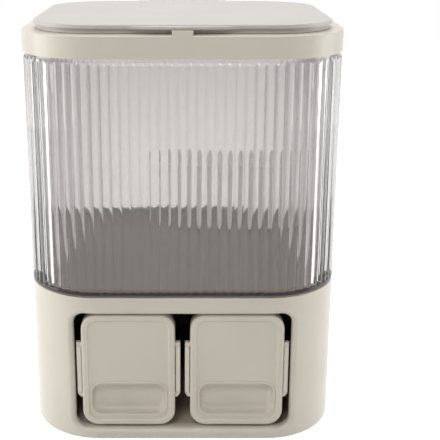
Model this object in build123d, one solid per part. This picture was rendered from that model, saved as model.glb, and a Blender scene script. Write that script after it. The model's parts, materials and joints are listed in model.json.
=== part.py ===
from build123d import *
import os

# A rice bin: a clear fluted container with a hinged lid stands on a base that holds two
# snap-lid storage boxes as drawers. Millimetres, +Z up, the front faces -Y, and the origin is
# at the middle of the footprint on the ground.

# --- Overall size -----------------------------------------------------------------------------
BIN_WIDTH = 300.0  # across the collar
BIN_DEPTH = 261.0  # front to back of the collar
CORNER_R = 69.0  # plan radius of the collar's corners
BODY_INSET = 0.2  # container and base stand this far inside the collar's face

# --- Base shell and what it holds ----------------------------------------------------------------
FOOT_LIFT = 1.5  # how far the feet hold the shell off the ground
BASE_TOP = 150.5  # top of the shell's rim, where the container stands
SHELL_WALL = 3.0
SHELL_BOTTOM_R = 2.5  # rounding of the shell's lower edge
SHELL_TOP_R = 1.0
SHELL_FLOOR_R = 2.0  # rounding inside, round the shell's floor
DECK_DROP = 4.3  # deck's top below the shell's rim
DECK_THICK = 2.5
DECK_LEDGE = 4.0  # width and height of the ledge under the deck
DECK_RIB_SPACING = 70.0
DECK_RIB_DEPTH = 6.0
RIB_THICK = 2.5
FIT = 0.3  # gap round a part that drops in and stays

WINDOW_SIDE = 45.6  # body's side to the window's side
WINDOW_SILL = 8.0  # window's lower edge above the shell's bottom rounding
WINDOW_HEAD = 17.0  # window's upper edge below the shell's rim
WINDOW_R = 11.5
WINDOW_RETURN = 12.0  # lining round the window, from the front of the shell
WINDOW_EDGE_R = 4.0  # soft outer edge of the window

TRAY_DROP = 1.0  # bay floor below the window's lower edge
TRAY_THICK = 2.5
TRAY_RIB_INSET = 12.0  # ribs' front ends behind the tray's front edge
TRAY_RIB_SPACING = 70.0
RAIL_WIDTH = 6.0
RAIL_SET_BACK = 6.0  # rails and guides start this far behind the drawer lid's skirt
GUIDE_HEIGHT = 17.0
GUIDE_THICK = 2.5

FOOT_R = 8.0
FOOT_HEIGHT = 3.0
FOOT_INSET = 36.0  # foot centre in from the body's sides

# --- Storage boxes used as drawers ------------------------------------------------------------------
WINDOW_CLEAR = 1.8  # between the outer flaps and the window's sides
FLAP_SPACE = 4.4  # between the two inner flaps
LID_OVER_SILL = 2.2  # drawer lid's lower edge above the window's
LID_UNDER_HEAD = 2.3  # drawer lid's upper edge below the window's
LID_SET_BACK = 4.5  # drawer lid's face behind the shell's face
BOX_LID_R = 15.5
BOX_LID_PLATE = 3.0
BOX_LID_DEPTH = 14.0  # from its face to the end of its skirt
BOX_LID_SKIRT = 2.5
BOX_LID_RIM = 6.5  # width of the raised rim round the lid's panel
PANEL_DEPTH = 1.6
PANEL_RIM_R = 1.1  # rounding of the rim towards the panel
PANEL_FLOOR_R = 0.4
BOX_WALL = 2.0
BOX_FLANGE = 1.2  # how far the mouth flange stands out of the box's side
BOX_REAR_SPACE = 13.5  # box's back to the outside of the base's back
BOX_GASKET = 1.6
POCKET_SIDE = 9.2  # lid's side to the pocket's side
POCKET_RISE = 11.8  # lid's lower edge to the pocket's
POCKET_HEIGHT = 32.8
POCKET_DEPTH = 9.0
POCKET_R = 10.0
POCKET_WALL = 1.8
POCKET_BORDER = 2.0
POCKET_BORDER_R = 0.5
DRAWER_GAP = 0.2  # box over its rails
DRAWER_SIDE_GAP = 0.5

FLAP_RISE = 29.4  # lid's lower edge to the lower ear's
FLAP_FALL = 29.8  # lid's upper edge to the upper ear's
FLAP_EAR = 4.5  # height of the lid's ear at each end of a flap
FLAP_EAR_TAPER = (3.0, 4.0)  # width and height cut off the lower ear's outer corner
FLAP_KNUCKLE_R = 2.3  # half the knuckle's width
FLAP_CORNER_R = 1.2  # rounding of the knuckle's corners
FLAP_GAP = 0.5  # between the knuckle and the lid's side
FLAP_THICK = 2.2
FLAP_REACH = 12.0  # from the pin to the end of the hook
FLAP_PIN_R = 0.8
FLAP_PIN_SET_BACK = 6.0  # pin's axis behind the drawer lid's face
HOOK_THICK = 1.9
BEAD_THICK = 1.4
BEAD_OUT = 3.3  # how far the latch bead stands out of the box's side

# --- Container ------------------------------------------------------------------------------------------
FLANGE_HEIGHT = 4.5
CONTAINER_HEIGHT = 241.0  # from the base's rim to the container's
FLUTE_CLEAR = 3.5  # flutes' tops below the collar's skirt
CONTAINER_WALL = 3.0
CONTAINER_FLOOR = 3.5
CONTAINER_FLOOR_R = 8.0
FLUTE_DEPTH = 1.4
FLUTE_INSET = 0.2  # flutes' crests inside the flange's face
FLUTE_COUNT_FRONT = 19
FLUTE_COUNT_SIDE = 14
FLUTE_COUNT_CORNER = 12
SPIGOT_HEIGHT = 3.7  # ring under the container that drops into the shell
SPIGOT_THICK = 3.0
SPIGOT_GAP = 0.4

# --- Collar ------------------------------------------------------------------------------------------------
COLLAR_RISE = 4.0  # collar's top above the container's rim
COLLAR_HEIGHT = 20.5
COLLAR_SKIRT = 2.0
COLLAR_SLOPE_WIDTH = 12.0
COLLAR_SLOPE_DROP = 0.5
COLLAR_EDGE_R = 0.9
COLLAR_GASKET = 1.5
COLLAR_ROOF = 2.5
COLLAR_RING = 2.2  # ring that drops into the container's neck
COLLAR_RING_DEPTH = 14.0
MOUTH_LIP_DEPTH = 8.5
CATCH_WIDTH = 18.6
CATCH_DEPTH = 4.5

# --- Lid -----------------------------------------------------------------------------------------------------
LID_INSET = 10.8  # lid's edge in from the collar's face
LID_RISE = 4.8  # underside of the lid's plate over the collar's top
LID_PLATE = 3.4
LID_EDGE_R = 1.4
LID_SKIRT_INSET = 3.0
LID_SKIRT = 3.0
LID_GAP = 0.3
LID_GASKET_WIDTH = 3.5
LINER_GAP = 2.0
LINER_DEPTH = 9.0
LINER_WALL = 2.0
LIP_WIDTH = 96.0
LIP_REACH = 5.0
LIP_THICK = 2.7
HINGE_BARREL_R = 4.6
HINGE_BARREL_HALF = 37.9
HINGE_KNUCKLE = 10.7
HINGE_PIN_R = 1.5
HINGE_SIDE_GAP = 0.4
HINGE_AXIS_BEHIND = 3.2  # hinge axis behind the lid plate's rear edge
HINGE_AXIS_DROP = 0.5  # hinge axis below the lid plate's underside
PIN_GAP = 0.05  # running fit of every pin

# --- Measuring cup kept in the container ---------------------------------------------------------------
CUP_TOP_R = 35.0
CUP_BOTTOM_R = 29.0
CUP_HEIGHT = 76.0
CUP_WALL = 1.3
CUP_RIM = 1.2
CUP_FROM_SIDE = 94.7  # cup's axis to the container's right inner wall
CUP_FROM_BACK = 52.7  # cup's axis to the container's rear inner wall
CUP_GAP = 0.3

# --- Worked out from the above ---------------------------------------------------------------------------
BODY_WIDTH = BIN_WIDTH - 2 * BODY_INSET
BODY_DEPTH = BIN_DEPTH - 2 * BODY_INSET
BODY_R = CORNER_R - BODY_INSET
FRONT = -BODY_DEPTH / 2
DECK_TOP = BASE_TOP - DECK_DROP
DECK_UNDER = DECK_TOP - DECK_THICK
SHELL_FLOOR = FOOT_LIFT + SHELL_WALL
WINDOW_WIDTH = BODY_WIDTH - 2 * WINDOW_SIDE
WINDOW_BOTTOM = FOOT_LIFT + SHELL_BOTTOM_R + WINDOW_SILL
WINDOW_HEIGHT = BASE_TOP - WINDOW_HEAD - WINDOW_BOTTOM
TRAY_FRONT = FRONT + WINDOW_RETURN + FIT
TRAY_TOP = WINDOW_BOTTOM - TRAY_DROP
GUIDE_TOP = TRAY_TOP + GUIDE_HEIGHT

FLAP_OUTER = (WINDOW_WIDTH - FLAP_SPACE - 2 * WINDOW_CLEAR) / 4
FLAP_PIN_X = FLAP_OUTER - FLAP_KNUCKLE_R
BOX_PITCH = 2 * FLAP_OUTER + FLAP_SPACE  # centre to centre of the two boxes
BOX_LID_WIDTH = 2 * (FLAP_PIN_X - FLAP_KNUCKLE_R - FLAP_GAP)
BOX_LID_BOTTOM = WINDOW_BOTTOM + LID_OVER_SILL
BOX_LID_HEIGHT = WINDOW_HEIGHT - LID_OVER_SILL - LID_UNDER_HEAD
LID_FACE = FRONT + LID_SET_BACK
LID_BACK = LID_FACE + BOX_LID_PLATE
SKIRT_END = LID_FACE + BOX_LID_DEPTH
POCKET_WIDTH = BOX_LID_WIDTH - 2 * POCKET_SIDE
POCKET_BOTTOM = BOX_LID_BOTTOM + POCKET_RISE
BOX_CENTRE_Z = BOX_LID_BOTTOM + BOX_LID_HEIGHT / 2
BOX_FRONT = LID_BACK + BOX_GASKET
FLANGE_WIDTH = BOX_LID_WIDTH - 2 * (BOX_LID_SKIRT + FIT)
FLANGE_SPAN = BOX_LID_HEIGHT - 2 * (BOX_LID_SKIRT + FIT)
FLANGE_R = BOX_LID_R - BOX_LID_SKIRT - FIT
BOX_WIDTH = FLANGE_WIDTH - 2 * BOX_FLANGE
BOX_HEIGHT = FLANGE_SPAN - 2 * BOX_FLANGE
BOX_R = FLANGE_R - BOX_FLANGE
BOX_REAR = BODY_DEPTH / 2 - BOX_REAR_SPACE
BOX_BOTTOM = BOX_CENTRE_Z - BOX_HEIGHT / 2
RAIL_TOP = BOX_BOTTOM - DRAWER_GAP
GUIDE_INNER = BOX_WIDTH / 2 + DRAWER_SIDE_GAP
RAIL_FRONT = SKIRT_END + RAIL_SET_BACK

FLAP_PIN_Y = LID_FACE + FLAP_PIN_SET_BACK
FLAP_BOTTOM = BOX_LID_BOTTOM + FLAP_RISE
FLAP_TOP = BOX_LID_BOTTOM + BOX_LID_HEIGHT - FLAP_FALL
FLAP_TIP = FLAP_PIN_Y + FLAP_REACH
BEAD_BACK = FLAP_TIP - HOOK_THICK - FIT
BEAD_X = BOX_WIDTH / 2 + BEAD_OUT

FLANGE_TOP = BASE_TOP + FLANGE_HEIGHT
CONTAINER_TOP = BASE_TOP + CONTAINER_HEIGHT
COLLAR_TOP = CONTAINER_TOP + COLLAR_RISE
COLLAR_BOTTOM = COLLAR_TOP - COLLAR_HEIGHT
FLUTE_TOP = COLLAR_BOTTOM - FLUTE_CLEAR
NECK_INSET = BODY_INSET + (COLLAR_SKIRT - BODY_INSET) + FIT
NECK_WIDTH = BIN_WIDTH - 2 * NECK_INSET
NECK_DEPTH = BIN_DEPTH - 2 * NECK_INSET
NECK_R = CORNER_R - NECK_INSET
CAVITY_WIDTH = NECK_WIDTH - 2 * CONTAINER_WALL
CAVITY_DEPTH = NECK_DEPTH - 2 * CONTAINER_WALL
CAVITY_R = NECK_R - CONTAINER_WALL
CAVITY_FLOOR = BASE_TOP + CONTAINER_FLOOR
CUP_X = CAVITY_WIDTH / 2 - CUP_FROM_SIDE
CUP_Y = CAVITY_DEPTH / 2 - CUP_FROM_BACK

COLLAR_CHANNEL_TOP = CONTAINER_TOP + COLLAR_GASKET
MOUTH_INSET = LID_INSET + LID_SKIRT_INSET + LID_SKIRT + LID_GASKET_WIDTH + 2 * FIT
MOUTH_WIDTH = BIN_WIDTH - 2 * MOUTH_INSET
MOUTH_DEPTH = BIN_DEPTH - 2 * MOUTH_INSET
MOUTH_R = CORNER_R - MOUTH_INSET
LID_UNDER = COLLAR_TOP + LID_RISE
LID_TOP = LID_UNDER + LID_PLATE
LID_WIDTH = BIN_WIDTH - 2 * LID_INSET
LID_DEPTH = BIN_DEPTH - 2 * LID_INSET
LID_R = CORNER_R - LID_INSET
LIP_UNDER = LID_UNDER - 0.4
CATCH_TOP = LIP_UNDER - 0.4
HINGE_Y = LID_DEPTH / 2 + HINGE_AXIS_BEHIND
HINGE_Z = LID_UNDER - HINGE_AXIS_DROP
KNUCKLE_IN = HINGE_BARREL_HALF + HINGE_SIDE_GAP
KNUCKLE_OUT = KNUCKLE_IN + HINGE_KNUCKLE


def slab(width, depth, radius, low, high):
    """An upright block of rounded plan, centred on the Z axis."""
    return Pos(0, 0, low) * extrude(RectangleRounded(width, depth, radius), high - low)


def front_slab(width, height, radius, front, back, x, z):
    """A block of rounded elevation, centred on (x, z), from y = front to y = back."""
    plane = Plane(origin=(x, back, z), x_dir=(1, 0, 0), z_dir=(0, -1, 0))
    return extrude(plane * RectangleRounded(width, height, radius), back - front)


def block(x_pair, y_pair, z_pair):
    """A plain box between two values on each axis."""
    sizes = [high - low for low, high in (x_pair, y_pair, z_pair)]
    middle = [(low + high) / 2 for low, high in (x_pair, y_pair, z_pair)]
    return Pos(*middle) * Box(*sizes)


def rod_x(radius, low, high, y, z):
    """A round bar along X."""
    return Pos((low + high) / 2, y, z) * Rot(0, 90, 0) * Cylinder(radius, high - low)


def rod_z(radius, low, high, x, y):
    """A round bar along Z."""
    return Pos(x, y, (low + high) / 2) * Cylinder(radius, high - low)


def edges_at(shape, z):
    """The edges of a shape that lie flat at one height."""
    return shape.edges().filter_by_position(Axis.Z, z - 0.01, z + 0.01)


def edges_at_y(shape, y):
    """The edges of a shape that lie in one upright plane, square to Y."""
    return shape.edges().filter_by_position(Axis.Y, y - 0.01, y + 0.01)


# --- Base ---------------------------------------------------------------------------------------------------


def make_base_shell():
    """The outer tub of the base, open at the top, with the drawer window in its front."""
    outer = slab(BODY_WIDTH, BODY_DEPTH, BODY_R, FOOT_LIFT, BASE_TOP)
    outer = fillet(edges_at(outer, FOOT_LIFT), SHELL_BOTTOM_R)
    outer = fillet(edges_at(outer, BASE_TOP), SHELL_TOP_R)
    inner_width = BODY_WIDTH - 2 * SHELL_WALL
    inner_depth = BODY_DEPTH - 2 * SHELL_WALL
    inner_r = BODY_R - SHELL_WALL
    cavity = slab(inner_width, inner_depth, inner_r, SHELL_FLOOR, BASE_TOP)
    cavity = fillet(edges_at(cavity, SHELL_FLOOR), SHELL_FLOOR_R)
    ledge_low = DECK_UNDER - DECK_LEDGE
    ledge = slab(inner_width + 1, inner_depth + 1, inner_r, ledge_low, DECK_UNDER)
    ledge -= slab(
        inner_width - 2 * DECK_LEDGE,
        inner_depth - 2 * DECK_LEDGE,
        inner_r - DECK_LEDGE,
        ledge_low,
        DECK_UNDER,
    )
    middle_z = WINDOW_BOTTOM + WINDOW_HEIGHT / 2
    lining = front_slab(
        WINDOW_WIDTH + 2 * SHELL_WALL,
        WINDOW_HEIGHT + 2 * SHELL_WALL,
        WINDOW_R + SHELL_WALL,
        FRONT + 2.0,
        FRONT + WINDOW_RETURN,
        0,
        middle_z,
    )
    window = front_slab(
        WINDOW_WIDTH,
        WINDOW_HEIGHT,
        WINDOW_R,
        FRONT - 5,
        FRONT + WINDOW_RETURN + 1,
        0,
        middle_z,
    )
    shell = outer - cavity + ledge + (lining & outer) - window
    reach = (WINDOW_WIDTH / 2 + 1, WINDOW_HEIGHT / 2 + 1)
    rim = [
        edge
        for edge in shell.edges()
        if edge.center().Y < FRONT + 2
        and abs(edge.center().X) < reach[0]
        and abs(edge.center().Z - middle_z) < reach[1]
    ]
    shell = fillet(rim, WINDOW_EDGE_R)
    for x, y in foot_places():
        shell -= rod_z(FOOT_R + FIT, 0, FOOT_HEIGHT, x, y)
    return shell


def foot_places():
    """Where the four feet are."""
    reach_x = BODY_WIDTH / 2 - FOOT_INSET
    reach_y = BODY_DEPTH / 2 - FOOT_INSET
    return [(sx * reach_x, sy * reach_y) for sy in (-1, 1) for sx in (-1, 1)]


def make_foot(x, y):
    """A rubber pad, let into the shell's underside."""
    pad = rod_z(FOOT_R, 0, FOOT_HEIGHT, x, y)
    return fillet(edges_at(pad, 0), 0.6)


def make_base_deck():
    """The plate that closes the top of the base, on the shell's ledge."""
    gap = SHELL_WALL + FIT
    plate = slab(BODY_WIDTH - 2 * gap, BODY_DEPTH - 2 * gap, BODY_R - gap, DECK_UNDER, DECK_TOP)
    rib_end = BODY_DEPTH / 2 - SHELL_WALL - DECK_LEDGE - 4
    for place in (-1, 0, 1):
        x = place * DECK_RIB_SPACING
        plate += block(
            (x - RIB_THICK / 2, x + RIB_THICK / 2),
            (-rib_end, rib_end),
            (DECK_UNDER - DECK_RIB_DEPTH, DECK_UNDER),
        )
    return plate


def make_guide_tray():
    """The bay floor that the boxes slide on, with two rails and two side guides for each box."""
    gap = SHELL_WALL + FIT
    depth = BODY_DEPTH - 2 * gap
    plate = slab(BODY_WIDTH - 2 * gap, depth, BODY_R - gap, TRAY_TOP - TRAY_THICK, TRAY_TOP)
    keep = block((-BIN_WIDTH, BIN_WIDTH), (TRAY_FRONT, BIN_DEPTH), (0, BASE_TOP))
    plate &= keep
    for place in (-1.5, -0.5, 0.5, 1.5):
        x = place * TRAY_RIB_SPACING
        plate += block(
            (x - RIB_THICK / 2, x + RIB_THICK / 2),
            (TRAY_FRONT + TRAY_RIB_INSET, BOX_REAR),
            (SHELL_FLOOR, TRAY_TOP - TRAY_THICK),
        )
    for side in (-1, 1):
        centre = side * BOX_PITCH / 2
        for hand in (-1, 1):
            rail = centre + hand * BOX_WIDTH / 3
            plate += block(
                (rail - RAIL_WIDTH / 2, rail + RAIL_WIDTH / 2),
                (RAIL_FRONT, BOX_REAR),
                (TRAY_TOP, RAIL_TOP),
            )
            near = centre + hand * GUIDE_INNER
            far = centre + hand * (GUIDE_INNER + GUIDE_THICK)
            plate += block(
                (min(near, far), max(near, far)),
                (RAIL_FRONT, BOX_REAR + FIT),
                (TRAY_TOP, GUIDE_TOP),
            )
    stop_reach = BOX_PITCH / 2 + GUIDE_INNER + GUIDE_THICK
    plate += block(
        (-stop_reach, stop_reach),
        (BOX_REAR + FIT, BOX_REAR + FIT + GUIDE_THICK),
        (TRAY_TOP, GUIDE_TOP),
    )
    return plate


# --- One storage box, built about x = 0 and then moved to its bay ----------------------------------


def make_box():
    """The clear box: a rounded tube closed at the back, flanged at its mouth."""
    body = front_slab(BOX_WIDTH, BOX_HEIGHT, BOX_R, BOX_FRONT, BOX_REAR, 0, BOX_CENTRE_Z)
    body = fillet(edges_at_y(body, BOX_REAR), 5)
    body += front_slab(
        FLANGE_WIDTH,
        FLANGE_SPAN,
        FLANGE_R,
        BOX_FRONT,
        SKIRT_END - 1,
        0,
        BOX_CENTRE_Z,
    )
    bead_low = FLAP_BOTTOM + FLAP_EAR + 1
    bead_high = FLAP_TOP - FLAP_EAR - 1
    for hand in (-1, 1):
        near = hand * (BOX_WIDTH / 2 - 0.5)
        far = hand * BEAD_X
        body += block(
            (min(near, far), max(near, far)),
            (BEAD_BACK - BEAD_THICK, BEAD_BACK),
            (bead_low, bead_high),
        )
    hollow = front_slab(
        BOX_WIDTH - 2 * BOX_WALL,
        BOX_HEIGHT - 2 * BOX_WALL,
        BOX_R - BOX_WALL,
        BOX_FRONT - 1,
        BOX_REAR - BOX_WALL,
        0,
        BOX_CENTRE_Z,
    )
    hollow = fillet(edges_at_y(hollow, BOX_REAR - BOX_WALL), 3)
    return body - hollow


def make_box_gasket():
    """The seal between a box's mouth and its lid."""
    ring = front_slab(BOX_WIDTH, BOX_HEIGHT, BOX_R, LID_BACK, BOX_FRONT, 0, BOX_CENTRE_Z)
    ring -= front_slab(
        BOX_WIDTH - 2 * BOX_WALL,
        BOX_HEIGHT - 2 * BOX_WALL,
        BOX_R - BOX_WALL,
        LID_BACK - 1,
        BOX_FRONT + 1,
        0,
        BOX_CENTRE_Z,
    )
    return ring


def make_box_lid():
    """The lid of a box, which is the drawer's front: rim, panel, finger pocket and flap ears."""
    lid = front_slab(
        BOX_LID_WIDTH, BOX_LID_HEIGHT, BOX_LID_R, LID_FACE, SKIRT_END, 0, BOX_CENTRE_Z
    )
    lid = fillet(edges_at_y(lid, LID_FACE), BOX_LID_PLATE - 0.4)
    lid -= front_slab(
        BOX_LID_WIDTH - 2 * BOX_LID_SKIRT,
        BOX_LID_HEIGHT - 2 * BOX_LID_SKIRT,
        BOX_LID_R - BOX_LID_SKIRT,
        LID_BACK,
        SKIRT_END + 1,
        0,
        BOX_CENTRE_Z,
    )
    panel = front_slab(
        BOX_LID_WIDTH - 2 * BOX_LID_RIM,
        BOX_LID_HEIGHT - 2 * BOX_LID_RIM,
        BOX_LID_R - BOX_LID_RIM,
        LID_FACE - 1,
        LID_FACE + PANEL_DEPTH,
        0,
        BOX_CENTRE_Z,
    )
    lid -= fillet(edges_at_y(panel, LID_FACE + PANEL_DEPTH), PANEL_FLOOR_R)
    rim_face = lid.faces().sort_by(Axis.Y)[0]
    lid = fillet(rim_face.inner_wires()[0].edges(), PANEL_RIM_R)
    lid = add_pocket(lid)
    for hand in (-1, 1):
        for low in (FLAP_BOTTOM, FLAP_TOP - FLAP_EAR):
            lid += make_ear(hand, low)
        lid -= ear_taper(hand)
    pin_hole = FLAP_PIN_R + PIN_GAP
    for hand in (-1, 1):
        lid -= rod_z(pin_hole, FLAP_BOTTOM + 1, FLAP_TOP - 1, hand * FLAP_PIN_X, FLAP_PIN_Y)
    return lid


def add_pocket(lid):
    """Cuts the finger pocket into a lid's panel and gives it its walls and raised border."""
    z = POCKET_BOTTOM + POCKET_HEIGHT / 2
    panel_y = LID_FACE + PANEL_DEPTH
    bottom_y = panel_y + POCKET_DEPTH
    border = front_slab(
        POCKET_WIDTH + 2 * POCKET_BORDER,
        POCKET_HEIGHT + 2 * POCKET_BORDER,
        POCKET_R + POCKET_BORDER,
        panel_y - PANEL_DEPTH / 2,
        panel_y + 0.5,
        0,
        z,
    )
    walls = front_slab(
        POCKET_WIDTH + 2 * POCKET_WALL,
        POCKET_HEIGHT + 2 * POCKET_WALL,
        POCKET_R + POCKET_WALL,
        panel_y,
        bottom_y + POCKET_WALL,
        0,
        z,
    )
    walls = fillet(edges_at_y(walls, bottom_y + POCKET_WALL), POCKET_DEPTH * 0.6)
    hollow = front_slab(POCKET_WIDTH, POCKET_HEIGHT, POCKET_R, LID_FACE - 1, bottom_y, 0, z)
    hollow = fillet(edges_at_y(hollow, bottom_y), POCKET_DEPTH * 0.6)
    lid = lid + border + walls - hollow
    return fillet(edges_at_y(lid, panel_y - PANEL_DEPTH / 2), POCKET_BORDER_R)


def make_knuckle(hand, low, high):
    """A flap hinge's knuckle: an upright bar of rounded square section round the pin."""
    width = 2 * FLAP_KNUCKLE_R
    bar = extrude(RectangleRounded(width, width, FLAP_CORNER_R), high - low)
    return Pos(hand * FLAP_PIN_X, FLAP_PIN_Y, low) * bar


def make_ear(hand, low):
    """One ear of a flap's hinge, on the lid's side."""
    high = low + FLAP_EAR
    near = hand * (BOX_LID_WIDTH / 2 - 1)
    ear = make_knuckle(hand, low, high)
    ear += block(
        (min(near, hand * FLAP_PIN_X), max(near, hand * FLAP_PIN_X)),
        (FLAP_PIN_Y - FLAP_KNUCKLE_R, FLAP_PIN_Y + FLAP_KNUCKLE_R),
        (low, high),
    )
    return ear


def ear_taper(hand):
    """The wedge that is cut off the lower ear's outer corner."""
    across, up = FLAP_EAR_TAPER
    outer = hand * (FLAP_OUTER + 1)
    corners = [
        (hand * (FLAP_OUTER - across), FLAP_BOTTOM - 1),
        (outer, FLAP_BOTTOM - 1),
        (outer, FLAP_BOTTOM + up),
        (hand * FLAP_OUTER, FLAP_BOTTOM + up),
        (hand * (FLAP_OUTER - across), FLAP_BOTTOM),
    ]
    back = FLAP_PIN_Y + FLAP_KNUCKLE_R + 1
    elevation = Plane(origin=(0, back, 0), x_dir=(1, 0, 0), z_dir=(0, -1, 0))
    wedge = make_face(elevation * Polyline(*corners, close=True))
    return extrude(wedge, 2 * FLAP_KNUCKLE_R + 2, dir=(0, -1, 0))


def make_flap(hand):
    """A side flap: knuckle, leaf and the hook that catches behind the box's bead."""
    low = FLAP_BOTTOM + FLAP_EAR + FIT
    high = FLAP_TOP - FLAP_EAR - FIT
    x = hand * FLAP_PIN_X
    outer = hand * FLAP_OUTER
    inner = hand * (FLAP_OUTER - FLAP_THICK)
    flap = make_knuckle(hand, low, high)
    flap += block((min(inner, outer), max(inner, outer)), (FLAP_PIN_Y, FLAP_TIP), (low, high))
    hook = hand * (BEAD_X - 2.0)
    flap += block(
        (min(hook, outer), max(hook, outer)),
        (FLAP_TIP - HOOK_THICK, FLAP_TIP),
        (low, high),
    )
    flap -= rod_z(FLAP_PIN_R + PIN_GAP, low - 1, high + 1, x, FLAP_PIN_Y)
    return flap


def make_flap_pin(hand):
    """The pin through a flap and its two ears."""
    return rod_z(FLAP_PIN_R, FLAP_BOTTOM + 1, FLAP_TOP - 1, hand * FLAP_PIN_X, FLAP_PIN_Y)


# --- Container ------------------------------------------------------------------------------------------------


def fluted_outline():
    """The container's plan: rows of shallow outward arcs round a rounded rectangle."""
    half_w = BODY_WIDTH / 2 - FLUTE_INSET
    half_d = BODY_DEPTH / 2 - FLUTE_INSET
    radius = BODY_R - FLUTE_INSET
    stations = []
    for turn in range(4):
        along = half_w - radius if turn % 2 == 0 else half_d - radius
        out = half_d if turn % 2 == 0 else half_w
        count = FLUTE_COUNT_FRONT if turn % 2 == 0 else FLUTE_COUNT_SIDE
        heading = -90 + 90 * turn
        for step in range(2 * count):
            offset = -along + 2 * along * step / (2 * count)
            stations.append((heading, offset, out, None))
        for step in range(2 * FLUTE_COUNT_CORNER):
            stations.append((heading, along, out, 90.0 * step / (2 * FLUTE_COUNT_CORNER)))
    points = []
    for index, (heading, offset, out, sweep) in enumerate(stations):
        drop = FLUTE_DEPTH if index % 2 == 0 else 0.0
        normal = Vector(1, 0, 0).rotate(Axis.Z, heading)
        tangent = Vector(0, 1, 0).rotate(Axis.Z, heading)
        if sweep is None:
            points.append(tangent * offset + normal * (out - drop))
        else:
            centre = tangent * offset + normal * (out - radius)
            points.append(centre + normal.rotate(Axis.Z, sweep) * (radius - drop))
    arcs = []
    for index in range(0, len(points), 2):
        end = points[(index + 2) % len(points)]
        arcs.append(ThreePointArc(points[index], points[index + 1], end))
    return make_face(Curve() + arcs)


def make_container():
    """The clear container: flange, fluted wall, plain neck, and a spigot that fits the shell."""
    body = Pos(0, 0, FLANGE_TOP) * extrude(fluted_outline(), FLUTE_TOP - FLANGE_TOP)
    body += slab(BODY_WIDTH, BODY_DEPTH, BODY_R, BASE_TOP, FLANGE_TOP)
    body += slab(NECK_WIDTH, NECK_DEPTH, NECK_R, FLUTE_TOP, CONTAINER_TOP)
    cavity = slab(CAVITY_WIDTH, CAVITY_DEPTH, CAVITY_R, CAVITY_FLOOR, CONTAINER_TOP)
    body -= fillet(edges_at(cavity, CAVITY_FLOOR), CONTAINER_FLOOR_R)
    spigot_gap = SHELL_WALL + SPIGOT_GAP
    spigot_low = BASE_TOP - SPIGOT_HEIGHT
    spigot = slab(
        BODY_WIDTH - 2 * spigot_gap,
        BODY_DEPTH - 2 * spigot_gap,
        BODY_R - spigot_gap,
        spigot_low,
        BASE_TOP,
    )
    inner_gap = spigot_gap + SPIGOT_THICK
    spigot -= slab(
        BODY_WIDTH - 2 * inner_gap,
        BODY_DEPTH - 2 * inner_gap,
        BODY_R - inner_gap,
        spigot_low,
        BASE_TOP,
    )
    return body + spigot


def make_measuring_cup():
    """The measuring cup that is kept in the container."""
    low = CAVITY_FLOOR + CUP_GAP
    high = low + CUP_HEIGHT
    outer = Pos(0, 0, low + CUP_HEIGHT / 2) * Cone(CUP_BOTTOM_R, CUP_TOP_R, CUP_HEIGHT)
    outer = fillet(edges_at(outer, low), 2.5)
    outer += rod_z(CUP_TOP_R + CUP_RIM, high - 2, high, 0, 0)
    hollow_height = CUP_HEIGHT - CUP_WALL
    hollow = Pos(0, 0, low + CUP_WALL + hollow_height / 2) * Cone(
        CUP_BOTTOM_R - CUP_WALL, CUP_TOP_R - CUP_WALL, hollow_height
    )
    return Pos(CUP_X, CUP_Y, 0) * (outer - hollow)


# --- Collar -----------------------------------------------------------------------------------------------------


def make_collar():
    """The frame on the container's mouth: skirt, sloping ledge, neck ring, mouth and catch."""
    collar = slab(BIN_WIDTH, BIN_DEPTH, CORNER_R, COLLAR_BOTTOM, COLLAR_TOP)
    face = collar.faces().sort_by(Axis.Z)[-1]
    collar = chamfer(
        edges_at(collar, COLLAR_TOP), COLLAR_SLOPE_WIDTH, COLLAR_SLOPE_DROP, reference=face
    )
    collar = fillet(edges_at(collar, COLLAR_TOP - COLLAR_SLOPE_DROP), COLLAR_EDGE_R)
    channel = slab(
        BIN_WIDTH - 2 * COLLAR_SKIRT,
        BIN_DEPTH - 2 * COLLAR_SKIRT,
        CORNER_R - COLLAR_SKIRT,
        COLLAR_BOTTOM,
        COLLAR_CHANNEL_TOP,
    )
    ring_low = COLLAR_CHANNEL_TOP - COLLAR_RING_DEPTH
    channel -= slab(
        CAVITY_WIDTH - 2 * FIT, CAVITY_DEPTH - 2 * FIT, CAVITY_R - FIT, ring_low, COLLAR_CHANNEL_TOP
    )
    room = slab(
        CAVITY_WIDTH - 2 * (FIT + COLLAR_RING),
        CAVITY_DEPTH - 2 * (FIT + COLLAR_RING),
        CAVITY_R - FIT - COLLAR_RING,
        COLLAR_BOTTOM,
        COLLAR_TOP - COLLAR_ROOF,
    )
    lip_low = COLLAR_TOP - MOUTH_LIP_DEPTH
    room -= slab(
        MOUTH_WIDTH + 2 * COLLAR_RING,
        MOUTH_DEPTH + 2 * COLLAR_RING,
        MOUTH_R + COLLAR_RING,
        lip_low,
        COLLAR_TOP,
    )
    mouth = slab(MOUTH_WIDTH, MOUTH_DEPTH, MOUTH_R, COLLAR_BOTTOM, COLLAR_TOP)
    collar = collar - channel - room - mouth
    collar += block(
        (-CATCH_WIDTH / 2, CATCH_WIDTH / 2),
        (-BIN_DEPTH / 2, -BIN_DEPTH / 2 + CATCH_DEPTH),
        (COLLAR_CHANNEL_TOP, CATCH_TOP),
    )
    return add_hinge_knuckles(collar)


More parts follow.
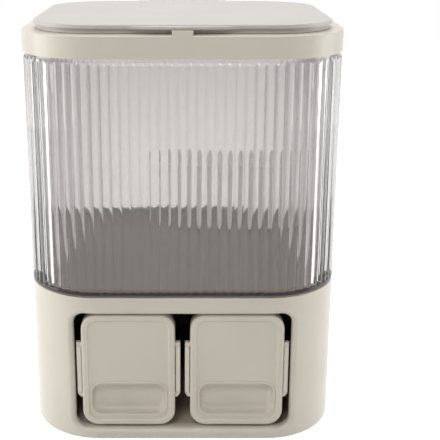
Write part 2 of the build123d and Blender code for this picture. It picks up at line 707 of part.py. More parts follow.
def add_hinge_knuckles(collar):
    """Puts the two hinge knuckles on the collar's rear ledge, with a trough for the barrel."""
    trough = HINGE_BARREL_R + HINGE_SIDE_GAP
    collar -= rod_x(trough, -KNUCKLE_IN, KNUCKLE_IN, HINGE_Y, HINGE_Z)
    for hand in (-1, 1):
        low = min(hand * KNUCKLE_IN, hand * KNUCKLE_OUT)
        high = max(hand * KNUCKLE_IN, hand * KNUCKLE_OUT)
        collar += rod_x(HINGE_BARREL_R, low, high, HINGE_Y, HINGE_Z)
        collar += block(
            (low, high),
            (HINGE_Y - HINGE_BARREL_R, HINGE_Y + HINGE_BARREL_R),
            (COLLAR_CHANNEL_TOP + 1, HINGE_Z),
        )
    pin_reach = KNUCKLE_OUT - 1
    collar -= rod_x(HINGE_PIN_R + PIN_GAP, -pin_reach, pin_reach, HINGE_Y, HINGE_Z)
    return collar


def make_collar_gasket():
    """The seal between the container's rim and the collar."""
    ring = slab(NECK_WIDTH, NECK_DEPTH, NECK_R, CONTAINER_TOP, COLLAR_CHANNEL_TOP)
    return ring - slab(CAVITY_WIDTH, CAVITY_DEPTH, CAVITY_R, CONTAINER_TOP, COLLAR_CHANNEL_TOP)


# --- Lid -----------------------------------------------------------------------------------------------------------


def make_lid():
    """The hinged lid: plate, inset skirt, front lip and rear hinge barrel."""
    plate = slab(LID_WIDTH, LID_DEPTH, LID_R, LID_UNDER, LID_TOP)
    plate = fillet(edges_at(plate, LID_TOP), LID_EDGE_R)
    skirt_low = COLLAR_TOP + LID_GAP
    skirt = slab(
        LID_WIDTH - 2 * LID_SKIRT_INSET,
        LID_DEPTH - 2 * LID_SKIRT_INSET,
        LID_R - LID_SKIRT_INSET,
        skirt_low,
        LID_UNDER,
    )
    inner = LID_SKIRT_INSET + LID_SKIRT
    skirt -= slab(LID_WIDTH - 2 * inner, LID_DEPTH - 2 * inner, LID_R - inner, skirt_low, LID_UNDER)
    edge = -LID_DEPTH / 2
    left = (-LIP_WIDTH / 2, edge)
    right = (LIP_WIDTH / 2, edge)
    bow = ThreePointArc(left, (0, edge - LIP_REACH), right)
    back = Polyline(right, (LIP_WIDTH / 2, edge + 1.5), (-LIP_WIDTH / 2, edge + 1.5), left)
    lip = Pos(0, 0, LIP_UNDER) * extrude(make_face(Curve() + [bow, back]), LIP_THICK)
    lip = fillet(edges_at(lip, LIP_UNDER + LIP_THICK).sort_by(Axis.Y)[0], LIP_THICK * 0.4)
    lid = plate + skirt + lip
    barrel = rod_x(HINGE_BARREL_R, -HINGE_BARREL_HALF, HINGE_BARREL_HALF, HINGE_Y, HINGE_Z)
    web = block(
        (-HINGE_BARREL_HALF, HINGE_BARREL_HALF),
        (LID_DEPTH / 2 - 2, HINGE_Y),
        (LID_UNDER, LID_TOP),
    )
    lid += barrel + web
    for hand in (-1, 1):
        near = hand * (KNUCKLE_IN - HINGE_SIDE_GAP)
        far = hand * (KNUCKLE_OUT + HINGE_SIDE_GAP)
        lid -= block(
            (min(near, far), max(near, far)),
            (HINGE_Y - HINGE_BARREL_R - HINGE_SIDE_GAP, BIN_DEPTH),
            (COLLAR_TOP, LID_TOP + 5),
        )
    lid -= rod_x(HINGE_PIN_R + PIN_GAP, -KNUCKLE_OUT, KNUCKLE_OUT, HINGE_Y, HINGE_Z)
    return lid


def make_lid_liner():
    """The shallow pan under the lid that fills the mouth."""
    width = MOUTH_WIDTH - 2 * LINER_GAP
    depth = MOUTH_DEPTH - 2 * LINER_GAP
    radius = MOUTH_R - LINER_GAP
    low = LID_UNDER - LINER_DEPTH
    pan = slab(width, depth, radius, low, LID_UNDER)
    pan = fillet(edges_at(pan, low), 1.5)
    pan -= slab(
        width - 2 * LINER_WALL,
        depth - 2 * LINER_WALL,
        radius - LINER_WALL,
        low + LINER_WALL,
        LID_UNDER,
    )
    return pan


def make_lid_gasket():
    """The soft ring under the lid, over the flat of the collar's ledge."""
    low = COLLAR_TOP + LID_GAP
    width = MOUTH_WIDTH + 2 * FIT
    depth = MOUTH_DEPTH + 2 * FIT
    radius = MOUTH_R + FIT
    ring = slab(
        width + 2 * LID_GASKET_WIDTH,
        depth + 2 * LID_GASKET_WIDTH,
        radius + LID_GASKET_WIDTH,
        low,
        LID_UNDER,
    )
    return ring - slab(width, depth, radius, low, LID_UNDER)


def make_hinge_pin():
    """The steel pin through the lid's barrel and the collar's knuckles."""
    reach = KNUCKLE_OUT - 1
    return rod_x(HINGE_PIN_R, -reach, reach, HINGE_Y, HINGE_Z)


def all_pieces():
    """Every piece of the bin, by name."""
    pieces = {
        "base_shell": make_base_shell(),
        "base_deck": make_base_deck(),
        "guide_tray": make_guide_tray(),
        "container": make_container(),
        "measuring_cup": make_measuring_cup(),
        "collar": make_collar(),
        "collar_gasket": make_collar_gasket(),
        "lid": make_lid(),
        "lid_liner": make_lid_liner(),
        "lid_gasket": make_lid_gasket(),
        "hinge_pin": make_hinge_pin(),
    }
    names = ("front_left", "front_right", "rear_left", "rear_right")
    for name, (x, y) in zip(names, foot_places()):
        pieces["foot_" + name] = make_foot(x, y)
    for side, word in ((-1, "left"), (1, "right")):
        bay = Pos(side * BOX_PITCH / 2, 0, 0)
        pieces["box_" + word] = bay * make_box()
        pieces["box_gasket_" + word] = bay * make_box_gasket()
        pieces["box_lid_" + word] = bay * make_box_lid()
        for hand, place in ((side, "outer"), (-side, "inner")):
            pieces["flap_%s_%s" % (word, place)] = bay * make_flap(hand)
            pieces["flap_pin_%s_%s" % (word, place)] = bay * make_flap_pin(hand)
    return pieces


os.makedirs("parts", exist_ok=True)
for name, piece in all_pieces().items():
    export_step(piece, "parts/%s.step" % name)
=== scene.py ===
"""A rice bin: clear fluted container, beige collar and flip lid, base with two drawer boxes."""
import json
import logging
import math
from dataclasses import dataclass, field
from enum import Enum
from typing import Dict, List, Optional, Tuple

import bmesh
import bpy
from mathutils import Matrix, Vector


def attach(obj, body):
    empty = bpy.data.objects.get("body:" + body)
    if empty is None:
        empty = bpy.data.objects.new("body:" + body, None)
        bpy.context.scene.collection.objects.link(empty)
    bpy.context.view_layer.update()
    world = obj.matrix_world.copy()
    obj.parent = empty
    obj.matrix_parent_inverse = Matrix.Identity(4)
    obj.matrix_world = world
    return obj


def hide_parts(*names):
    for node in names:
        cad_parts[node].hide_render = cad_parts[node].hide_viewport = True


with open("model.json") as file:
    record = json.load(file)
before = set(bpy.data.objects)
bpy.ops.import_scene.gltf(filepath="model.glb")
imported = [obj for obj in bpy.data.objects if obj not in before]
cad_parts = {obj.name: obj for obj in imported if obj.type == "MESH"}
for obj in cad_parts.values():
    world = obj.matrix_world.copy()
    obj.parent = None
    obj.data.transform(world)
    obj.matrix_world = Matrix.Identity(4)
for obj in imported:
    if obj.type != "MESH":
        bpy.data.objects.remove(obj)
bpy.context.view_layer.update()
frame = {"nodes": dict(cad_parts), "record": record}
LOG = logging.getLogger("rice_bin")
MM = 0.001
Colour = Tuple[float, float, float, float]
Place = Tuple[float, float, float]
WELD = 0.002 * MM  # corners nearer to each other than this become one
NOISE_LOW, NOISE_HIGH = 0.3, 0.7  # most of a noise texture's values lie between these
PLASTIC_IOR = 1.49
FROSTED_IOR = 1.46


def srgb(red: int, green: int, blue: int) -> Colour:
    """Turns an eight-bit display colour into the linear colour that shaders take.

    Args:
        red: Red, 0 to 255.
        green: Green, 0 to 255.
        blue: Blue, 0 to 255.

    Returns:
        The linear colour, with an alpha of 1.
    """
    linear = []
    for value in (red, green, blue):
        unit = value / 255.0
        linear.append(unit / 12.92 if unit <= 0.04045 else ((unit + 0.055) / 1.055) ** 2.4)
    return (linear[0], linear[1], linear[2], 1.0)


class NodeSheet:
    """A material's node tree, with short calls for the nodes that the finishes share."""

    def __init__(self, name: str) -> None:
        """Makes an empty material with a Principled shader and its output.

        Args:
            name: The material's name.
        """
        self.material = bpy.data.materials.new(name)
        self.material.use_nodes = True
        self.tree = self.material.node_tree
        self.tree.nodes.clear()
        self.shader = self.add("ShaderNodeBsdfPrincipled")
        self.output = self.add("ShaderNodeOutputMaterial")
        self.link(self.shader.outputs["BSDF"], self.output.inputs["Surface"])
        self.coords = self.add("ShaderNodeTexCoord").outputs["Object"]

    def add(self, kind: str) -> bpy.types.Node:
        """Adds one node of a kind and returns it."""
        return self.tree.nodes.new(kind)

    def link(self, source: bpy.types.NodeSocket, target: bpy.types.NodeSocket) -> None:
        """Joins an output to an input."""
        self.tree.links.new(source, target)

    def stretched(self, scale: Place) -> bpy.types.NodeSocket:
        """Gives object coordinates scaled along each axis.

        Args:
            scale: The factor along X, Y and Z.

        Returns:
            The scaled coordinates.
        """
        mapping = self.add("ShaderNodeMapping")
        mapping.inputs["Scale"].default_value = scale
        self.link(self.coords, mapping.inputs["Vector"])
        return mapping.outputs["Vector"]

    def noise(
        self, scale: float, detail: float = 2.0, vector: Optional[bpy.types.NodeSocket] = None
    ) -> bpy.types.NodeSocket:
        """Adds a noise texture.

        Args:
            scale: Noise cells per metre.
            detail: Octaves of finer noise.
            vector: The coordinates, object coordinates by default.

        Returns:
            The noise value, about 0 to 1.
        """
        noise = self.add("ShaderNodeTexNoise")
        noise.inputs["Scale"].default_value = scale
        noise.inputs["Detail"].default_value = detail
        self.link(vector or self.coords, noise.inputs["Vector"])
        return noise.outputs["Fac"]

    def spread(
        self, value: bpy.types.NodeSocket, low: float = 0.0, high: float = 1.0
    ) -> bpy.types.NodeSocket:
        """Maps the middle of a noise to a range.

        Args:
            value: The noise.
            low: The result where the noise is NOISE_LOW.
            high: The result where the noise is NOISE_HIGH.

        Returns:
            The mapped value.
        """
        ramp = self.add("ShaderNodeMapRange")
        ramp.inputs["From Min"].default_value = NOISE_LOW
        ramp.inputs["From Max"].default_value = NOISE_HIGH
        ramp.inputs["To Min"].default_value = low
        ramp.inputs["To Max"].default_value = high
        self.link(value, ramp.inputs["Value"])
        return ramp.outputs["Result"]

    def blend(
        self, value: bpy.types.NodeSocket, first: Colour, second: Colour
    ) -> bpy.types.NodeSocket:
        """Mixes two colours by a value.

        Args:
            value: 0 for the first colour, 1 for the second.
            first: The first colour.
            second: The second colour.

        Returns:
            The mixed colour.
        """
        mix = self.add("ShaderNodeMix")
        mix.data_type = "RGBA"
        mix.inputs["A"].default_value = first
        mix.inputs["B"].default_value = second
        self.link(value, mix.inputs["Factor"])
        return mix.outputs["Result"]

    def bump(self, height: bpy.types.NodeSocket, strength: float, distance: float) -> None:
        """Roughens the surface by a height.

        Args:
            height: The height, 0 to 1.
            strength: How much of the bump shows.
            distance: The height's real depth in metres.
        """
        bump = self.add("ShaderNodeBump")
        bump.inputs["Strength"].default_value = strength
        bump.inputs["Distance"].default_value = distance
        self.link(height, bump.inputs["Height"])
        self.link(bump.outputs["Normal"], self.shader.inputs["Normal"])

    def let_light_through(self, tint: Colour) -> None:
        """Lets lamps shine through a clear shell, which would otherwise shade all behind it.

        Args:
            tint: The colour that the light keeps.
        """
        mix = self.add("ShaderNodeMixShader")
        clear = self.add("ShaderNodeBsdfTransparent")
        clear.inputs["Color"].default_value = tint
        path = self.add("ShaderNodeLightPath")
        self.link(path.outputs["Is Shadow Ray"], mix.inputs["Fac"])
        self.link(self.shader.outputs["BSDF"], mix.inputs[1])
        self.link(clear.outputs["BSDF"], mix.inputs[2])
        self.link(mix.outputs["Shader"], self.output.inputs["Surface"])


def tinted(colour: Colour, factor: float) -> Colour:
    """Scales a colour's three channels by a factor."""
    return (colour[0] * factor, colour[1] * factor, colour[2] * factor, 1.0)


@dataclass(frozen=True)
class SatinPlastic:
    """An opaque moulded plastic with a fine spark-eroded grain."""

    name: str
    colour: Colour
    roughness: float = 0.34
    unevenness: float = 0.02
    cloud: float = 0.03
    cloud_scale: float = 14.0
    gloss_scale: float = 85.0
    grain: float = 0.12
    grain_scale: float = 2600.0
    grain_depth: float = 0.04 * MM

    def material(self) -> bpy.types.Material:
        """Builds the material: cloudy colour, uneven gloss and a fine grain."""
        sheet = NodeSheet(self.name)
        cloud = sheet.spread(sheet.noise(self.cloud_scale, detail=3.0))
        first = tinted(self.colour, 1.0 - self.cloud)
        second = tinted(self.colour, 1.0 + self.cloud)
        sheet.link(sheet.blend(cloud, first, second), sheet.shader.inputs["Base Color"])
        gloss = sheet.noise(self.gloss_scale, detail=4.0)
        rough = sheet.spread(
            gloss, self.roughness - self.unevenness, self.roughness + self.unevenness
        )
        sheet.link(rough, sheet.shader.inputs["Roughness"])
        sheet.shader.inputs["IOR"].default_value = PLASTIC_IOR
        sheet.bump(sheet.noise(self.grain_scale), self.grain, self.grain_depth)
        return sheet.material


@dataclass(frozen=True)
class ClearPlastic:
    """A clear moulded plastic, polished, greyer where it is seen at a slant."""

    name: str
    tint: Colour
    slant: Colour
    roughness: float = 0.02
    polish: Tuple[float, float] = (0.6, 1.6)
    haze: float = 0.97
    haze_scale: float = 9.0
    facing: float = 0.5
    flow_scale: float = 30.0
    flow_stretch: Place = (1.0, 1.0, 0.15)
    waviness: float = 0.05
    wave_depth: float = 0.4 * MM
    lamp_tint: Colour = field(default_factory=lambda: srgb(246, 245, 244))

    def material(self) -> bpy.types.Material:
        """Builds the material: refraction, a tint that follows the slant, and faint flow marks."""
        sheet = NodeSheet(self.name)
        haze = sheet.spread(sheet.noise(self.haze_scale, detail=3.0))
        clouded = sheet.blend(haze, self.tint, tinted(self.tint, self.haze))
        weight = sheet.add("ShaderNodeLayerWeight")
        weight.inputs["Blend"].default_value = self.facing
        edge = sheet.add("ShaderNodeMix")
        edge.data_type = "RGBA"
        edge.inputs["B"].default_value = self.slant
        sheet.link(weight.outputs["Facing"], edge.inputs["Factor"])
        sheet.link(clouded, edge.inputs["A"])
        sheet.link(edge.outputs["Result"], sheet.shader.inputs["Base Color"])
        flow = sheet.noise(self.flow_scale, 3.0, sheet.stretched(self.flow_stretch))
        least, most = self.polish
        rough = sheet.spread(flow, self.roughness * least, self.roughness * most)
        sheet.link(rough, sheet.shader.inputs["Roughness"])
        sheet.shader.inputs["IOR"].default_value = PLASTIC_IOR
        sheet.shader.inputs["Transmission Weight"].default_value = 1.0
        sheet.bump(flow, self.waviness, self.wave_depth)
        sheet.let_light_through(self.lamp_tint)
        return sheet.material


@dataclass(frozen=True)
class FrostedPlastic:
    """A milky, half clear plastic with a matt skin."""

    name: str
    colour: Colour
    clearness: float
    roughness: Tuple[float, float] = (0.33, 0.44)
    gloss_scale: float = 160.0
    milk: float = 0.97
    milk_scale: float = 40.0
    grain: float = 0.15
    grain_scale: float = 1800.0
    grain_depth: float = 0.04 * MM
    lamp_share: float = 0.7

    def material(self) -> bpy.types.Material:
        """Builds the material: part diffuse, part rough transmission, with a fine grain."""
        sheet = NodeSheet(self.name)
        cloud = sheet.spread(sheet.noise(self.milk_scale, detail=3.0))
        milky = sheet.blend(cloud, tinted(self.colour, self.milk), self.colour)
        sheet.link(milky, sheet.shader.inputs["Base Color"])
        rough = sheet.spread(sheet.noise(self.gloss_scale, detail=3.0), *self.roughness)
        sheet.link(rough, sheet.shader.inputs["Roughness"])
        sheet.shader.inputs["IOR"].default_value = FROSTED_IOR
        sheet.shader.inputs["Transmission Weight"].default_value = self.clearness
        sheet.bump(sheet.noise(self.grain_scale), self.grain, self.grain_depth)
        sheet.let_light_through(tinted(self.colour, self.lamp_share))
        return sheet.material


@dataclass(frozen=True)
class SoftRubber:
    """Silicone or rubber with a dusty matt skin."""

    name: str
    colour: Colour
    roughness: float
    smoother: float = 0.08
    rougher: float = 0.1
    gloss_scale: float = 300.0
    dust: float = 0.93
    dust_scale: float = 60.0
    grain: float = 0.2
    grain_scale: float = 2200.0
    grain_depth: float = 0.06 * MM

    def material(self) -> bpy.types.Material:
        """Builds the material: matt, slightly uneven, with a fine grain."""
        sheet = NodeSheet(self.name)
        cloud = sheet.spread(sheet.noise(self.dust_scale, detail=4.0))
        dusty = sheet.blend(cloud, tinted(self.colour, self.dust), self.colour)
        sheet.link(dusty, sheet.shader.inputs["Base Color"])
        gloss = sheet.noise(self.gloss_scale, detail=3.0)
        rough = sheet.spread(
            gloss, self.roughness - self.smoother, self.roughness + self.rougher
        )
        sheet.link(rough, sheet.shader.inputs["Roughness"])
        sheet.bump(sheet.noise(self.grain_scale, detail=3.0), self.grain, self.grain_depth)
        return sheet.material


@dataclass(frozen=True)
class DrawnSteel:
    """Drawn steel wire, with fine lines."""

    name: str
    along: Place
    colour: Colour = field(default_factory=lambda: srgb(190, 190, 192))
    roughness: Tuple[float, float] = (0.22, 0.36)
    streak_scale: float = 1500.0
    wear: float = 0.85
    relief: float = 0.1
    relief_depth: float = 0.03 * MM

    def material(self) -> bpy.types.Material:
        """Builds the material: metal with fine streaks, stretched as the axes say."""
        sheet = NodeSheet(self.name)
        streak = sheet.noise(self.streak_scale, 3.0, sheet.stretched(self.along))
        worn = sheet.blend(sheet.spread(streak), tinted(self.colour, self.wear), self.colour)
        sheet.link(worn, sheet.shader.inputs["Base Color"])
        sheet.link(sheet.spread(streak, *self.roughness), sheet.shader.inputs["Roughness"])
        sheet.shader.inputs["Metallic"].default_value = 1.0
        sheet.bump(streak, self.relief, self.relief_depth)
        return sheet.material


class Slot(Enum):
    """The record's material slots."""

    SHELL = "shell_plastic"
    DECK = "deck_plastic"
    TRAY = "tray_plastic"
    FOOT = "foot_rubber"
    CONTAINER = "container_plastic"
    COLLAR = "collar_plastic"
    LID = "lid_plastic"
    LINER = "liner_plastic"
    SEAL = "seal_silicone"
    PIN = "pin_steel"
    CUP = "cup_plastic"
    BOX = "box_plastic"
    BOX_LID = "box_lid_plastic"
    FLAP = "flap_plastic"


BEIGE = srgb(216, 209, 195)
FINISHES = {
    Slot.SHELL: SatinPlastic("shell_plastic_finish", BEIGE),
    # Painted shade: the deck's colour is a darker, browner beige that stands in for the shade it
    # lies in under the container's clear floor.
    Slot.DECK: SatinPlastic("deck_plastic_painted_shade", srgb(168, 142, 121), roughness=0.5),
    Slot.TRAY: SatinPlastic("tray_plastic_finish", srgb(204, 190, 174), roughness=0.5),
    Slot.FOOT: SoftRubber("foot_rubber_finish", srgb(120, 116, 110), roughness=0.75),
    Slot.CONTAINER: ClearPlastic(
        "container_plastic_finish", tint=srgb(214, 212, 211), slant=srgb(112, 108, 108)
    ),
    Slot.COLLAR: SatinPlastic("collar_plastic_finish", BEIGE),
    Slot.LID: SatinPlastic("lid_plastic_finish", srgb(198, 193, 187), roughness=0.42),
    Slot.LINER: SatinPlastic("liner_plastic_finish", srgb(214, 207, 194), roughness=0.5),
    Slot.SEAL: SoftRubber("seal_silicone_finish", srgb(226, 226, 222), roughness=0.5),
    Slot.PIN: DrawnSteel("pin_steel_finish", along=(0.05, 0.05, 1.0)),
    Slot.CUP: FrostedPlastic("cup_plastic_finish", srgb(244, 242, 240), clearness=0.6),
    Slot.BOX: ClearPlastic(
        "box_plastic_finish", srgb(240, 240, 238), srgb(190, 188, 184), roughness=0.03
    ),
    Slot.BOX_LID: SatinPlastic("box_lid_plastic_finish", BEIGE),
    # Painted light: the flaps' colour is a lighter beige that stands in for the side light falling
    # on them.
    Slot.FLAP: SatinPlastic("flap_plastic_painted_light", srgb(230, 224, 212)),
}


class Wardrobe:
    """Every finish, built once and handed to the pieces that wear it."""

    def __init__(self) -> None:
        """Builds every finish."""
        self.made: Dict[Slot, bpy.types.Material] = {
            slot: finish.material() for slot, finish in FINISHES.items()
        }

    def dress(self, piece: bpy.types.Object, slot: Slot) -> None:
        """Puts one finish on every face of a piece.

        Args:
            piece: The piece's object.
            slot: The finish's slot.
        """
        material = self.made[slot]
        if not piece.material_slots:
            piece.data.materials.append(material)
        for holder in piece.material_slots:
            holder.material = material

    def dress_nodes(self) -> None:
        """Puts each carried-over CAD node's own finish on it."""
        by_name = {slot.value: slot for slot in Slot}
        for part in frame["record"]["subparts"]:
            node = frame["nodes"][part["node"]]
            self.dress(node, by_name[part["material_slot"]])
            LOG.info("dressed %s in %s", part["node"], part["material_slot"])


def finished(
    mesh: bmesh.types.BMesh, name: str, body: str, slot: Slot, wardrobe: Wardrobe, crease: float
) -> bpy.types.Object:
    """Turns a bmesh into a piece of the model, smooth but for its sharp edges.

    Args:
        mesh: The shape, in metres, in its place.
        name: The piece's name.
        body: The body that it rides on.
        slot: Its finish.
        wardrobe: The finishes.
        crease: The angle in degrees past which an edge stays sharp.

    Returns:
        The piece's object.
    """
    bmesh.ops.remove_doubles(mesh, verts=mesh.verts, dist=WELD)
    bmesh.ops.recalc_face_normals(mesh, faces=mesh.faces)
    limit = math.radians(crease)
    for face in mesh.faces:
        face.smooth = True
    for edge in mesh.edges:
        edge.smooth = len(edge.link_faces) == 2 and edge.calc_face_angle(0.0) < limit
    data = bpy.data.meshes.new(name)
    mesh.to_mesh(data)
    mesh.free()
    piece = bpy.data.objects.new(name, data)
    bpy.context.scene.collection.objects.link(piece)
    wardrobe.dress(piece, slot)
    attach(piece, body)
    LOG.info("built %s, %d faces", name, len(data.polygons))
    return piece


@dataclass
class Level:
    """One ring of the shell: its inset from the outermost face, its height, its flutes' depth."""

    inset: float
    height: float
    flute: float = 0.0


@dataclass
class FlutedContainer:
    """The clear container, fluted outside, with domed ends to its flutes.

    Lengths are in metres. The flute counts are for one side or one corner, and steps is the
    number of facets across a flute.
    """

    wardrobe: Wardrobe
    half_width: float = 149.8 * MM
    half_depth: float = 130.3 * MM
    corner: float = 68.8 * MM
    flutes_front: int = 19
    flutes_side: int = 14
    flutes_corner: int = 12
    steps: int = 10
    crest_inset: float = 0.2 * MM
    flute_depth: float = 1.4 * MM
    bottom: float = 150.5 * MM
    flange_top: float = 155.0 * MM
    flute_top: float = 371.5 * MM
    dome: float = 3.2 * MM
    dome_steps: int = 7
    neck_inset: float = 2.1 * MM
    rim: float = 391.5 * MM
    wall: float = 3.0 * MM
    floor: float = 3.5 * MM
    floor_round: float = 4.0 * MM
    spigot_inset: float = 3.4 * MM
    spigot_thick: float = 3.0 * MM
    spigot_height: float = 3.7 * MM
    edge: float = 0.5 * MM
    neck_steps: Tuple[float, float] = (0.3 * MM, 1.0 * MM)
    floor_steps: int = 8
    crease: float = 24.0

    def across(self, step: int) -> float:
        """Gives a step's place across its flute: -1 at its start, 0 on its crest."""
        return (step % self.steps) / self.steps * 2.0 - 1.0

    def stations(self) -> List[Tuple[float, float, float, float]]:
        """Lists the plan's stations in order.

        Returns:
            For each, its side's heading in degrees, its place along that side from -1 to 1, its
            turn round the corner in degrees, or -1 on a straight, and its place across its flute.
        """
        result = []
        for side in range(4):
            count = self.flutes_front if side % 2 == 0 else self.flutes_side
            heading = -90.0 + 90.0 * side
            for step in range(count * self.steps):
                along = step / (count * self.steps) * 2.0 - 1.0
                result.append((heading, along, -1.0, self.across(step)))
            turns = self.flutes_corner * self.steps
            for step in range(turns):
                result.append((heading, 1.0, 90.0 * step / turns, self.across(step)))
        return result

    def point(self, station: Tuple[float, float, float, float], level: Level) -> Vector:
        """Places one station on one ring.

        Args:
            station: The station, as stations() gives it.
            level: The ring.

        Returns:
            The point.
        """
        heading, along, turn, across = station
        out, run = self.half_depth, self.half_width - self.corner
        if round((heading + 90.0) / 90.0) % 2 == 1:
            out, run = self.half_width, self.half_depth - self.corner
        drop = level.inset
        if level.flute:
            drop += level.flute - max(0.0, level.flute - self.flute_depth * across * across)
        angle = math.radians(heading)
        normal = Vector((math.cos(angle), math.sin(angle), 0.0))
        tangent = Vector((-normal.y, normal.x, 0.0))
        if turn < 0.0:
            place = tangent * (run * along) + normal * (out - drop)
        else:
            spin = math.radians(heading + turn)
            centre = tangent * run + normal * (out - self.corner)
            place = centre + Vector((math.cos(spin), math.sin(spin), 0.0)) * (self.corner - drop)
        return Vector((place.x, place.y, level.height))

    def levels(self) -> List[Level]:
        """Lists the rings, from the underside, up the outside and down the inside to the floor.

        Returns:
            The rings in order.
        """
        inner_spigot = self.spigot_inset + self.spigot_thick
        low = self.bottom - self.spigot_height
        soft = self.edge
        rings = [
            Level(inner_spigot, self.bottom),
            Level(inner_spigot, low),
            Level(self.spigot_inset, low),
            Level(self.spigot_inset, self.bottom),
            Level(soft, self.bottom),
            Level(0.0, self.bottom + soft),
            Level(0.0, self.flange_top - soft),
            Level(self.crest_inset, self.flange_top),
        ]
        depth = self.flute_depth
        shaft = self.flute_top - self.dome
        for height in (self.flange_top, (self.flange_top + shaft) / 2, shaft):
            rings.append(Level(self.crest_inset, height, depth))
        for step in range(1, self.dome_steps + 1):
            rise = step / self.dome_steps
            height = shaft + self.dome * rise
            left = depth * (1.0 - rise * rise)
            rings.append(Level(self.crest_inset + depth - left, height, left))
        rings += [
            Level(self.crest_inset + depth, self.flute_top + self.neck_steps[0]),
            Level(self.neck_inset, self.flute_top + self.neck_steps[1]),
            Level(self.neck_inset, self.rim - soft),
            Level(self.neck_inset + soft, self.rim),
            Level(self.neck_inset + self.wall - soft, self.rim),
            Level(self.neck_inset + self.wall, self.rim - soft),
        ]
        inner = self.neck_inset + self.wall
        floor = self.bottom + self.floor
        for step in range(self.floor_steps + 1):
            turn = math.radians(90.0 * step / self.floor_steps)
            rings.append(
                Level(
                    inner + self.floor_round * (1.0 - math.cos(turn)),
                    floor + self.floor_round * (1.0 - math.sin(turn)),
                )
            )
        return rings

    def build(self) -> bpy.types.Object:
        """Builds the shell ring by ring and closes it at both floors.

        Returns:
            The container's object.
        """
        stations = self.stations()
        mesh = bmesh.new()
        mark = mesh.verts.layers.int.new("station")
        ring = bmesh.ops.create_circle(mesh, segments=len(stations), radius=self.corner)["verts"]
        rings = self.levels()
        for index, vert in enumerate(ring):
            vert[mark] = index
            vert.co = self.point(stations[index], rings[0])
        edges = list(mesh.edges)
        bmesh.ops.contextual_create(mesh, geom=edges)
        for level in rings[1:]:
            grown = bmesh.ops.extrude_edge_only(mesh, edges=edges)["geom"]
            edges = [item for item in grown if isinstance(item, bmesh.types.BMEdge)]
            for vert in (item for item in grown if isinstance(item, bmesh.types.BMVert)):
                vert.co = self.point(stations[vert[mark]], level)
        bmesh.ops.contextual_create(mesh, geom=edges)
        piece = finished(
            mesh, "fluted_container", "container", Slot.CONTAINER, self.wardrobe, self.crease
        )
        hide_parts("container")
        return piece


@dataclass(frozen=True)
class SoftBox:
    """One soft lamp: where it hangs, its width and height, and its power in watts."""

    name: str
    place: Place
    size: Tuple[float, float]
    power: float


SOFT_BOXES = (
    SoftBox("left_box", (-1.5, -0.15, 0.55), (0.9, 1.4), 15.0),
    SoftBox("right_box", (1.5, -0.05, 0.55), (0.9, 1.4), 12.0),
    SoftBox("top_box", (0.0, 0.45, 1.8), (1.2, 1.0), 13.0),
    SoftBox("front_box", (-0.35, -1.35, 1.55), (0.7, 0.5), 9.0),
)


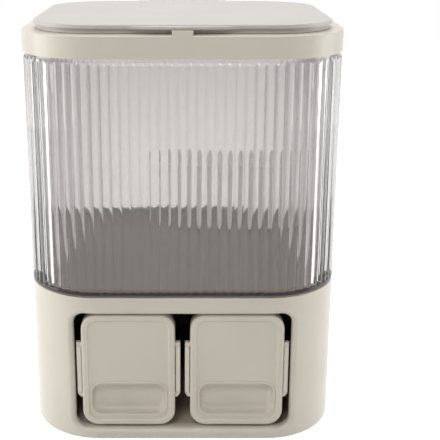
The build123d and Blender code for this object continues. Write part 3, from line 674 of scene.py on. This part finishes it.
@dataclass
class Studio:
    """The photograph's camera, a plain white room and soft lamps."""

    frame_px: float = 440.0
    focal_px: float = 918.6
    axis_px: Tuple[float, float] = (182.6, 180.0)
    pitch: float = 15.94
    camera_place: Place = (0.0, -0.9272, 0.4935)
    sensor: float = 36.0
    clip: Tuple[float, float] = (0.01, 60.0)
    target: Place = (0.0, 0.0, 0.22)
    ambient: float = 0.22
    floor_size: float = 5.0
    floor_grey: float = 0.8
    floor_roughness: float = 0.9
    floor_glow: float = 0.87

    def camera(self) -> None:
        """Sets the camera where the photograph's perspective puts it."""
        data = bpy.data.cameras.new("camera")
        data.sensor_width = self.sensor
        data.sensor_fit = "HORIZONTAL"
        data.lens = self.focal_px / self.frame_px * self.sensor
        data.shift_x = (self.frame_px / 2 - self.axis_px[0]) / self.frame_px
        data.shift_y = (self.axis_px[1] - self.frame_px / 2) / self.frame_px
        data.clip_start, data.clip_end = self.clip
        eye = bpy.data.objects.new("camera", data)
        eye.location = self.camera_place
        eye.rotation_euler = (math.radians(90.0 - self.pitch), 0.0, 0.0)
        bpy.context.scene.collection.objects.link(eye)
        bpy.context.scene.camera = eye

    def lamp(self, box: SoftBox) -> None:
        """Hangs one soft box and points it at the object.

        Args:
            box: The soft box.
        """
        data = bpy.data.lights.new(box.name, "AREA")
        data.shape = "RECTANGLE"
        data.size, data.size_y = box.size
        data.energy = box.power
        lamp = bpy.data.objects.new(box.name, data)
        lamp.location = box.place
        aim = Vector(self.target) - Vector(box.place)
        lamp.rotation_euler = aim.to_track_quat("-Z", "Y").to_euler()
        bpy.context.scene.collection.objects.link(lamp)

    def white_room(self) -> None:
        """Makes the world: white to the camera, a plain grey light to the rest."""
        world = bpy.data.worlds.new("room")
        world.use_nodes = True
        tree = world.node_tree
        tree.nodes.clear()
        path = tree.nodes.new("ShaderNodeLightPath")
        seen = self.any_ray(tree, path)
        light = tree.nodes.new("ShaderNodeMix")
        light.data_type = "FLOAT"
        light.inputs["A"].default_value = self.ambient
        light.inputs["B"].default_value = 1.0
        tree.links.new(seen, light.inputs["Factor"])
        backdrop = tree.nodes.new("ShaderNodeBackground")
        backdrop.inputs["Color"].default_value = (1.0, 1.0, 1.0, 1.0)
        tree.links.new(light.outputs["Result"], backdrop.inputs["Strength"])
        output = tree.nodes.new("ShaderNodeOutputWorld")
        tree.links.new(backdrop.outputs["Background"], output.inputs["Surface"])
        bpy.context.scene.world = world

    def any_ray(self, tree: bpy.types.NodeTree, path: bpy.types.Node) -> bpy.types.NodeSocket:
        """Adds up the ray kinds that see the white backdrop.

        Args:
            tree: The node tree.
            path: Its Light Path node.

        Returns:
            1 for camera, glossy and transmission rays, else 0.
        """
        total = path.outputs["Is Camera Ray"]
        for kind in ("Is Glossy Ray", "Is Transmission Ray"):
            join = tree.nodes.new("ShaderNodeMath")
            join.operation = "MAXIMUM"
            tree.links.new(total, join.inputs[0])
            tree.links.new(path.outputs[kind], join.inputs[1])
            total = join.outputs["Value"]
        return total

    def floor(self) -> None:
        """Lays the pale floor, which turns white to the camera away from the shadow."""
        mesh = bmesh.new()
        bmesh.ops.create_grid(mesh, x_segments=1, y_segments=1, size=self.floor_size / 2)
        data = bpy.data.meshes.new("floor")
        mesh.to_mesh(data)
        mesh.free()
        floor = bpy.data.objects.new("floor", data)
        bpy.context.scene.collection.objects.link(floor)
        material = bpy.data.materials.new("floor_paint")
        material.use_nodes = True
        tree = material.node_tree
        shader = tree.nodes["Principled BSDF"]
        shader.inputs["Base Color"].default_value = (self.floor_grey,) * 3 + (1.0,)
        shader.inputs["Roughness"].default_value = self.floor_roughness
        shader.inputs["Emission Color"].default_value = (1.0, 1.0, 1.0, 1.0)
        path = tree.nodes.new("ShaderNodeLightPath")
        seen = self.any_ray(tree, path)
        glow = tree.nodes.new("ShaderNodeMath")
        glow.operation = "MULTIPLY"
        glow.inputs[1].default_value = self.floor_glow
        tree.links.new(seen, glow.inputs[0])
        tree.links.new(glow.outputs["Value"], shader.inputs["Emission Strength"])
        data.materials.append(material)

    def build(self) -> None:
        """Sets up the whole studio."""
        self.camera()
        for box in SOFT_BOXES:
            self.lamp(box)
        self.white_room()
        self.floor()
        bpy.context.scene.view_settings.view_transform = "Standard"
        LOG.info("studio ready")


def main() -> None:
    """Builds and dresses the bin, piece by piece, and the studio round it."""
    logging.basicConfig(level=logging.INFO)
    Studio().build()
    wardrobe = Wardrobe()
    wardrobe.dress_nodes()
    FlutedContainer(wardrobe).build()


if __name__ == "__main__":
    main()
